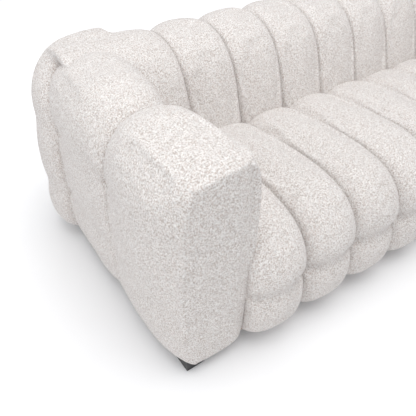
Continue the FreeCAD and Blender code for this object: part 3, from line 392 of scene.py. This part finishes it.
def closed_tube(name, x, y, z, flip):
    """A mesh of four-sided faces between rings of points, one ring after the other.

    Each end is closed by triangles to the mean of its ring. flip turns every face round, for
    rings that run the other way, so that all faces point outwards.
    """
    rings, around = x.shape
    grid = np.stack([x, y, z], axis=-1)
    points = np.vstack([grid.reshape(-1, 3), grid[0].mean(axis=0), grid[-1].mean(axis=0)])
    i, j = np.meshgrid(np.arange(rings - 1), np.arange(around), indexing="ij")
    k = (j + 1) % around
    quads = np.stack([i * around + j, i * around + k, (i + 1) * around + k, (i + 1) * around + j],
                     axis=-1).reshape(-1, 4)
    n = np.arange(around)
    m = (n + 1) % around
    first = np.stack([np.full(around, rings * around), m, n], axis=1)
    base = (rings - 1) * around
    last = np.stack([np.full(around, rings * around + 1), base + n, base + m], axis=1)
    if flip:
        quads, first, last = quads[:, ::-1], first[:, ::-1], last[:, ::-1]
    faces = quads.tolist() + first.tolist() + last.tolist()
    mesh = bpy.data.meshes.new(name)
    mesh.from_pydata(points.tolist(), [], faces)
    mesh.polygons.foreach_set("use_smooth", np.ones(len(faces), bool))
    piece = bpy.data.objects.new(name, mesh)
    bpy.context.collection.objects.link(piece)
    return piece


def softly_uneven(seed, waves, amount):
    """Slow hills and hollows of hand-packed fill.

    The height is the mean of waves (a, b), each a sine of a turns along the path times a cosine
    of b half turns across it, with seeded phases, and dies out at the seams.
    """
    rng = np.random.default_rng(seed)
    phase = rng.uniform(0, 2 * math.pi, (len(waves), 2))

    def height(line, t):
        s = np.linspace(0, 1, len(line))[:, None]
        total = sum(np.sin(2 * math.pi * a * s + p0) * np.cos(math.pi * b * t[None, :] + p1)
                    for (a, b), (p0, p1) in zip(waves, phase))
        return amount * total / len(waves) * (1 - np.abs(t)[None, :] ** 3)

    return height


def settle(piece, ring, pressure, cap):
    """How far each point moves when the cover swells as cloth over its fill.

    The cover is held at its seams, at both ends and underneath, and is let go in between under
    pressure. ring is the count of points from seam to seam. A movement longer than the cap is
    shortened to it.
    """
    count = len(piece.data.vertices)
    before = np.empty(count * 3)
    piece.data.vertices.foreach_get("co", before)
    around = ring + under_points
    number = np.arange(count)
    spot = number % around
    between_seams = (spot >= held_points) & (spot < ring - held_points)
    between_ends = (number > held_points * around) & (number < count - 2 - held_points * around)
    held = piece.vertex_groups.new(name="held")
    held.add(np.flatnonzero(~(between_seams & between_ends)).tolist(), 1.0, "REPLACE")
    cloth = piece.modifiers.new("cloth", "CLOTH")
    cloth.settings.quality = 4
    cloth.settings.mass = 0.3
    cloth.settings.tension_stiffness = 12
    cloth.settings.compression_stiffness = 12
    cloth.settings.shear_stiffness = 4
    cloth.settings.bending_stiffness = 4.0
    cloth.settings.shrink_min = -0.002
    cloth.settings.use_pressure = True
    cloth.settings.uniform_pressure_force = pressure
    cloth.settings.vertex_group_mass = "held"
    cloth.settings.effector_weights.gravity = 0
    cloth.point_cache.frame_end = cloth_frames
    scene = bpy.context.scene
    for step in range(1, cloth_frames + 1):
        scene.frame_set(step)
    after = np.empty(count * 3)
    shape = piece.evaluated_get(bpy.context.evaluated_depsgraph_get()).to_mesh()
    shape.vertices.foreach_get("co", after)
    piece.modifiers.remove(cloth)
    piece.vertex_groups.remove(held)
    scene.frame_set(1)
    moved = (after - before).reshape(-1, 3)
    size = np.linalg.norm(moved, axis=1)[:, None]
    return moved * np.minimum(1, cap / np.maximum(size, 1e-9))


def move_points(piece, moved):
    """Add a movement to every point of a piece."""
    flat = np.empty(len(piece.data.vertices) * 3)
    piece.data.vertices.foreach_get("co", flat)
    piece.data.vertices.foreach_set("co", flat + moved.ravel())
    piece.data.update()


def finish_soft(piece, node):
    """Cover material, smoothing, and what the piece stands for.
    """
    piece.data.materials.append(boucle)
    smooth = piece.modifiers.new("smooth", "SUBSURF")
    smooth.levels = 1
    smooth.render_levels = 1
    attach(piece, "root")
    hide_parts(node)


seat_profile = [
    # crest y, z, seam y, z at both sides
    (0.128, 0.340, 0.118, 0.335), (0.120, 0.388, 0.102, 0.366), (0.088, 0.430, 0.070, 0.388),
    (0.030, 0.450, 0.020, 0.399), (-0.060, 0.458, -0.060, 0.403), (-0.160, 0.461, -0.160, 0.405),
    (-0.260, 0.459, -0.255, 0.404), (-0.340, 0.450, -0.322, 0.395), (-0.412, 0.426, -0.378, 0.374),
    (-0.462, 0.385, -0.416, 0.343), (-0.492, 0.333, -0.437, 0.308), (-0.501, 0.284, -0.445, 0.272),
    (-0.493, 0.236, -0.442, 0.236), (-0.503, 0.192, -0.448, 0.198), (-0.506, 0.146, -0.452, 0.152),
    (-0.497, 0.096, -0.447, 0.108), (-0.470, 0.058, -0.430, 0.079), (-0.428, 0.040, -0.404, 0.061),
    (-0.385, 0.038, -0.380, 0.055),
]
seat_path = [(cy, cz, sy, sz, sy, sz) for cy, cz, sy, sz in seat_profile]
seat_row = (lower_row, 0.030, 0.024)
seat_waves = ((1.3, 0.7), (2.6, 1.1), (3.7, 0.4))
for index in range(9):
    left = first_seam + channel_pitch * index
    y, z, x = channel_grid(seat_path, left + cover_start, left + cover_end, tube_crown, -1, -1,
                           rows=(seat_row,), length=130,
                           lift=softly_uneven(100 + index, seat_waves, fill_bumps))
    piece = closed_tube(f"seat_cover_{index + 1}", x, y, z, False)
    if index == 0:
        seat_swell = settle(piece, tube_ring, tube_pressure, tube_swell)
    move_points(piece, seat_swell)
    finish_soft(piece, f"seat_channel_{index + 1}")


# Back channels
# The same fibre-filled tubes of boucle, up the back rest, over the top and down the outside,
# where two tufted rows draw them in.

back_profile = [
    # crest y, z, seam y, z at both sides
    (0.062, 0.330, 0.100, 0.325), (0.080, 0.385, 0.121, 0.385), (0.098, 0.445, 0.138, 0.440),
    (0.117, 0.505, 0.156, 0.492), (0.138, 0.565, 0.174, 0.546), (0.166, 0.624, 0.196, 0.598),
    (0.208, 0.672, 0.229, 0.643), (0.264, 0.704, 0.272, 0.673), (0.330, 0.719, 0.328, 0.689),
    (0.388, 0.717, 0.378, 0.688), (0.437, 0.698, 0.418, 0.672), (0.473, 0.658, 0.444, 0.638),
    (0.491, 0.600, 0.456, 0.588), (0.497, 0.540, 0.459, 0.535), (0.496, 0.487, 0.458, 0.487),
    (0.498, 0.430, 0.460, 0.430), (0.500, 0.360, 0.462, 0.360), (0.498, 0.290, 0.460, 0.290),
    (0.495, 0.236, 0.458, 0.236), (0.496, 0.185, 0.458, 0.187), (0.491, 0.120, 0.456, 0.130),
    (0.473, 0.070, 0.444, 0.088), (0.440, 0.046, 0.420, 0.066), (0.400, 0.042, 0.392, 0.060),
]
back_path = [(cy, cz, sy, sz, sy, sz) for cy, cz, sy, sz in back_profile]
back_rows = ((lower_row, 0.022, 0.034), (upper_row, 0.022, 0.034))
back_waves = ((1.1, 0.6), (2.9, 1.0), (4.1, 0.5))
for index in range(1, 8):
    left = first_seam + channel_pitch * index
    y, z, x = channel_grid(back_path, left + cover_start, left + cover_end, tube_crown, 1, 1,
                           rows=back_rows,
                           lift=softly_uneven(200 + index, back_waves, fill_bumps))
    piece = closed_tube(f"back_cover_{index}", x, y, z, True)
    if index == 1:
        back_swell = settle(piece, tube_ring, tube_pressure, tube_swell)
    move_points(piece, back_swell)
    finish_soft(piece, f"back_channel_{index}")


# Arm channels
# Two broad saddles of padding over each arm, from under the outer side over the top to the seat.
# The front one turns round the front edge to the panel's seam. Both sides are the same.

half_width = 1.173
panel_plane = -0.440
front_cover_end, rear_cover_start = -0.0625, -0.0615   # either side of the arm's middle seam
saddle_crown = (2.4, 0.60)
saddle_ring = 64                                       # points from seam to seam
saddle_pressure = 2.5
saddle_swell = 0.007

arm_profile = [
    # crest in from the outer face, z; the same for the rear seam; and for the front edge
    (0.078, 0.041, 0.085, 0.050, 0.090, 0.046), (0.038, 0.050, 0.050, 0.064, 0.079, 0.052),
    (0.016, 0.085, 0.032, 0.094, 0.078, 0.085), (0.007, 0.140, 0.027, 0.144, 0.078, 0.140),
    (0.005, 0.190, 0.028, 0.192, 0.078, 0.190), (0.006, 0.236, 0.032, 0.236, 0.078, 0.236),
    (0.003, 0.290, 0.034, 0.290, 0.078, 0.290), (0.001, 0.360, 0.040, 0.360, 0.078, 0.360),
    (0.002, 0.430, 0.047, 0.428, 0.078, 0.430), (0.005, 0.487, 0.052, 0.485, 0.078, 0.487),
    (0.008, 0.540, 0.055, 0.535, 0.078, 0.540), (0.017, 0.592, 0.064, 0.582, 0.078, 0.592),
    (0.037, 0.642, 0.082, 0.613, 0.079, 0.636), (0.072, 0.687, 0.112, 0.641, 0.086, 0.662),
    (0.116, 0.712, 0.142, 0.655, 0.118, 0.680), (0.164, 0.722, 0.172, 0.658, 0.168, 0.690),
    (0.214, 0.719, 0.206, 0.652, 0.216, 0.690), (0.254, 0.702, 0.230, 0.632, 0.250, 0.682),
    (0.280, 0.664, 0.242, 0.598, 0.268, 0.650), (0.288, 0.596, 0.247, 0.553, 0.275, 0.586),
    (0.286, 0.510, 0.246, 0.490, 0.276, 0.502), (0.278, 0.425, 0.246, 0.418, 0.272, 0.420),
    (0.266, 0.350, 0.238, 0.350, 0.262, 0.350),
]
front_path = [(cu, cz, fu, fz, ru, rz) for cu, cz, ru, rz, fu, fz in arm_profile]
front_rows = ((lower_row, 0.006, 0.034), (upper_row, 0.006, 0.038))
front_waves = ((0.9, 0.6), (2.3, 1.2))
front_u, front_z, front_y = channel_grid(
    front_path, panel_plane, front_cover_end, saddle_crown, 1, -1, rows=front_rows,
    ring=saddle_ring, lift=softly_uneven(300, front_waves, fill_bumps))

rear_path = [(cu, cz, ru, rz, ru, rz) for cu, cz, ru, rz, fu, fz in arm_profile]
rear_rows = ((lower_row, 0.013, 0.034), (upper_row, 0.013, 0.038))
rear_waves = ((0.8, 0.7), (2.1, 1.1))
# The seam to the corner leans back between the heights of 0.45 and 0.66.
rear_crest_z = curve_through(rear_path, path_points)[:, 1]
rear_cover_end = np.interp(rear_crest_z, (0.45, 0.66), (0.306, 0.376))
rear_u, rear_z, rear_y = channel_grid(
    rear_path, rear_cover_start, rear_cover_end, saddle_crown, 1, -1, rows=rear_rows,
    ring=saddle_ring, lift=softly_uneven(310, rear_waves, fill_bumps))

for side, hand in ((-1, "left"), (1, "right")):
    piece = closed_tube(f"arm_front_cover_{hand}", side * (half_width - front_u), front_y, front_z,
                        side > 0)
    if side < 0:
        front_swell = settle(piece, saddle_ring, saddle_pressure, saddle_swell)
    move_points(piece, front_swell * (-side, 1, 1))
    finish_soft(piece, f"arm_front_channel_{hand}")

    piece = closed_tube(f"arm_rear_cover_{hand}", side * (half_width - rear_u), rear_y, rear_z,
                        side > 0)
    if side < 0:
        rear_swell = settle(piece, saddle_ring, saddle_pressure, saddle_swell)
    move_points(piece, rear_swell * (-side, 1, 1))
    finish_soft(piece, f"arm_rear_channel_{hand}")


# Arm front panels
# A flat piece of cover over thin padding, sewn in at its outer and top edge and turned
# softly round the edge towards the seat. The tufted rows run out in a crease at its seam.

panel_section = curve_through([
    # in from the arm's outer face, behind the panel's plane
    (0.092, 0.030), (0.0800, 0.018), (0.0785, 0.008), (0.0810, 0.0016), (0.094, -0.0018),
    (0.130, -0.0055), (0.170, -0.0070), (0.206, -0.0055), (0.234, 0.0005), (0.254, 0.0130),
    (0.264, 0.0330), (0.268, 0.0600), (0.266, 0.0900), (0.250, 0.1000), (0.180, 0.0600),
    (0.110, 0.0400), (0.092, 0.030)], 109)[:-1]
panel_levels = curve_through([
    # height, reach towards the seat beyond 0.268, how far the section has opened
    (0.0400, -0.012, 0.0), (0.0405, -0.010, 0.55), (0.0480, -0.004, 0.90), (0.0700, 0.001, 1.0),
    (0.1200, 0.011, 1.0), (0.1800, 0.016, 1.0), (0.2360, 0.019, 1.0), (0.2800, 0.025, 1.0),
    (0.3340, 0.027, 1.0), (0.4030, 0.024, 1.0), (0.5080, 0.020, 1.0), (0.6000, 0.014, 1.0),
    (0.6450, 0.009, 1.0), (0.6680, 0.003, 0.97), (0.6790, -0.002, 0.80), (0.6815, -0.006, 0.0)], 130)
panel_creases = (
    # height, depth, how far the crease runs in from the seam
    (lower_row, 0.0030, 0.05),
    (upper_row, 0.0045, 0.075),
)
middle_u, middle_y = 0.170, 0.024
outer_seam = 0.08

# Each level is the section drawn in towards its middle at the closed ends, and stretched
# towards the seat by its reach. The outer edge lies up to 7 mm further in at the top, and
# 2.5 mm further out below a height of 0.38.
height, reach, opened = panel_levels.T[:, :, None]
panel_u = middle_u + (panel_section[None, :, 0] - middle_u) * (1 - 0.16 * (1 - opened) ** 2)
panel_y = middle_y + (panel_section[None, :, 1] - middle_y) * opened
panel_u = panel_u + reach * np.clip((panel_u - 0.14) / 0.126, 0, 1) ** 2
tight = np.clip((0.60 - height) / 0.22, 0, 1)
panel_u = panel_u + (0.0070 - 0.0095 * tight) * np.clip((0.115 - panel_u) / 0.03, 0, 1)

# A crease is a narrow bell curve in a shallow wide one, and falls by a tenth of its run. Both
# fade out with the distance from the outer seam and leave the back of the panel alone.
for row_height, depth, run in panel_creases:
    crease = np.exp(-((height - row_height + 0.10 * (panel_u - outer_seam)) / 0.006) ** 2)
    dip = np.exp(-((height - row_height) / 0.035) ** 2)
    near_seam = np.exp(-((panel_u - outer_seam) / run) ** 2)
    on_front = np.clip(1 - panel_y / 0.01, 0, 1)
    panel_y = panel_y + (depth * crease + 0.6 * depth * dip) * near_seam * on_front

# The top edge rises by up to 17 mm towards the seat.
towards_seat = np.clip((panel_u - 0.085) / 0.08, 0, 1)
near_top = np.clip((height - 0.55) / 0.12, 0, 1)
panel_z = height + 0.017 * towards_seat * near_top

for side, hand in ((-1, "left"), (1, "right")):
    piece = closed_tube(f"arm_panel_cover_{hand}", side * (half_width - panel_u),
                        panel_y + panel_plane, panel_z, side < 0)
    finish_soft(piece, f"arm_front_panel_{hand}")


# Corner pieces
# The end of the back is one fanned piece of cover: up the back rest, over the top and round
# the rear corner to the side seam. Both runs are joined and smoothed into one form.

corner_profile = [
    # in from the outer face, z; and the same at the side seam
    (0.050, 0.041, 0.085, 0.050), (0.008, 0.052, 0.050, 0.064), (-0.014, 0.088, 0.030, 0.094),
    (-0.021, 0.140, 0.022, 0.144), (-0.020, 0.190, 0.022, 0.192), (-0.014, 0.236, 0.026, 0.236),
    (-0.016, 0.290, 0.030, 0.290), (-0.014, 0.360, 0.036, 0.360), (-0.008, 0.430, 0.043, 0.428),
    (0.000, 0.487, 0.049, 0.485), (0.006, 0.540, 0.053, 0.535), (0.020, 0.592, 0.062, 0.582),
    (0.044, 0.640, 0.075, 0.623), (0.082, 0.684, 0.106, 0.656), (0.130, 0.713, 0.141, 0.674),
    (0.185, 0.725, 0.188, 0.684), (0.250, 0.730, 0.250, 0.690), (0.300, 0.728, 0.300, 0.696),
]
# The seam at the back run's side is tucked in at all heights below 0.75, and down above 0.5.
corner_path = []
for crest_u, crest_z, seam_u, seam_z in corner_profile:
    tuck_in = 0.115 * min(1, (0.75 - crest_z) / 0.15)
    tuck_down = 0.100 * (crest_z > 0.5) * min(1, (crest_z - 0.5) / 0.15)
    corner_path.append((crest_u, crest_z, seam_u, seam_z, crest_u + tuck_in, crest_z - tuck_down))
corner_rows = ((lower_row, 0.014, 0.040), (upper_row, 0.016, 0.045))
corner_rear_end = 0.499
side_crown, back_crown = (2.2, 0.50), (3.4, 0.56)
# The seam to the arm leans back between the heights of 0.45 and 0.64.
corner_seam = np.interp(curve_through(corner_path, path_points)[:, 1], (0.45, 0.64), (0.300, 0.352))
corner_u, corner_z, corner_y = channel_grid(
    corner_path, corner_seam, corner_rear_end, side_crown, 1, -1, rows=corner_rows,
    ring=saddle_ring)
corner_inner_end = 0.7100   # laps 3.5 mm over the back channel next to it
corner_outer_end = 1.080
one_skin_voxel = 0.0085
relax_rounds = 11

for side, hand in ((-1, "left"), (1, "right")):
    side_run = closed_tube("corner_side", side * (half_width - corner_u), corner_y, corner_z, side > 0)
    # The back run keeps its full height at the outer end, inside the side run, and falls to a
    # seam only beside the back channel next to it.
    if side < 0:
        end_path = [(cy, cz, cy, cz, sy, sz) for cy, cz, sy, sz in back_profile]
        ends = (-corner_outer_end, -corner_inner_end)
    else:
        end_path = [(cy, cz, sy, sz, cy, cz) for cy, cz, sy, sz in back_profile]
        ends = (corner_inner_end, corner_outer_end)
    y, z, x = channel_grid(end_path, ends[0], ends[1], back_crown, 1, 1, rows=back_rows,
                           ring=saddle_ring, length=170)
    piece = closed_tube(f"corner_cover_{hand}", x, y, z, True)

    joined = bpy.data.meshes.new(f"corner_cover_{hand}")
    sources = [side_run.data, piece.data]
    points = [np.zeros(len(mesh.vertices) * 3) for mesh in sources]
    for mesh, flat in zip(sources, points):
        mesh.vertices.foreach_get("co", flat)
    faces = [[tuple(face.vertices) for face in mesh.polygons] for mesh in sources]
    shift = len(sources[0].vertices)
    joined.from_pydata(np.concatenate(points).reshape(-1, 3).tolist(), [],
                       faces[0] + [tuple(v + shift for v in face) for face in faces[1]])
    piece.data = joined
    bpy.data.objects.remove(side_run)

    remesh = piece.modifiers.new("one_skin", "REMESH")
    remesh.mode = "VOXEL"
    remesh.voxel_size = one_skin_voxel
    relax = piece.modifiers.new("relax", "SMOOTH")
    relax.factor = 0.5
    relax.iterations = relax_rounds
    graph = bpy.context.evaluated_depsgraph_get()
    skin = bpy.data.meshes.new_from_object(piece.evaluated_get(graph))
    piece.modifiers.clear()
    piece.data = skin
    skin.polygons.foreach_set("use_smooth", np.ones(len(skin.polygons), bool))
    finish_soft(piece, f"corner_channel_{hand}")
